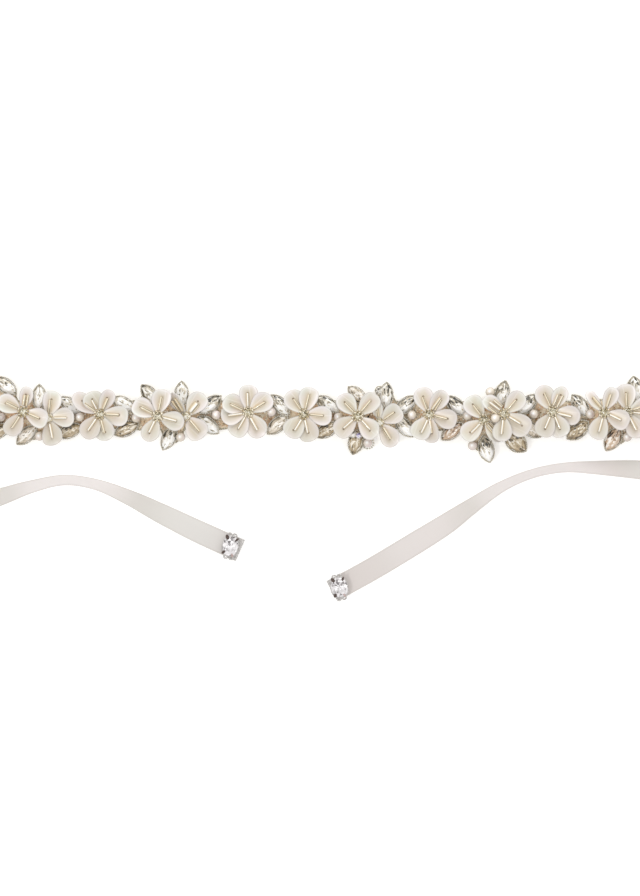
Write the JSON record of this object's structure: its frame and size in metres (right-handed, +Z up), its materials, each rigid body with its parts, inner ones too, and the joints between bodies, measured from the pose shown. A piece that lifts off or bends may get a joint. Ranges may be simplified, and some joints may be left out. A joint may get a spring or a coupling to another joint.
{
  "type": "bridal sash",
  "caption": "Narrow ivory satin bridal sash laid flat, with a band of shell flowers, pointed crystals and pearls, and two loose ties tipped with crystals.",
  "frame": {"origin": "middle of the laid-out sash, on the surface it lies on", "axes": "+X along the flowered band, +Y across it from the ties towards the band, +Z up"},
  "size_m": [0.6394, 0.099, 0.013],
  "materials": {
    "ivory_satin": "double-faced satin with a soft sheen",
    "champagne_net": "stiff net over felt, edged with small silver beads",
    "pearl_shell": "polished mother-of-pearl",
    "crystal": "foil-backed cut glass in silver settings, with pearls",
    "silver_metal": "satin silver"
  },
  "bodies": {
    "root": {"backing": "champagne_net", "clamp_left": "silver_metal", "clamp_right": "silver_metal", "crystal_left": "crystal", "crystal_right": "crystal", "flower_00": "pearl_shell", "flower_01": "pearl_shell", "flower_02": "pearl_shell", "flower_03": "pearl_shell", "flower_04": "pearl_shell", "flower_05": "pearl_shell", "flower_06": "pearl_shell", "flower_07": "pearl_shell", "flower_08": "pearl_shell", "flower_09": "pearl_shell", "flower_10": "pearl_shell", "flower_11": "pearl_shell", "flower_12": "pearl_shell", "flower_13": "pearl_shell", "flower_14": "pearl_shell", "flower_15": "pearl_shell", "flower_16": "pearl_shell", "ribbon_band": "ivory_satin", "ribbon_left_loop": "ivory_satin", "ribbon_left_run": "ivory_satin", "ribbon_left_tail": "ivory_satin", "ribbon_right_loop": "ivory_satin", "ribbon_right_run": "ivory_satin", "ribbon_right_tail": "ivory_satin", "stones_00_01": "crystal", "stones_01": "crystal", "stones_02_03": "crystal", "stones_03_04": "crystal", "stones_04": "crystal", "stones_05_06": "crystal", "stones_06_07": "crystal", "stones_07_08": "crystal", "stones_08": "crystal", "stones_09_10": "crystal", "stones_10_11": "crystal", "stones_11": "crystal", "stones_12_13": "crystal", "stones_13_14": "crystal", "stones_14": "crystal", "stones_15_16": "crystal", "stones_end_left": "crystal", "stones_end_right": "crystal"}
  },
  "joints": []
}
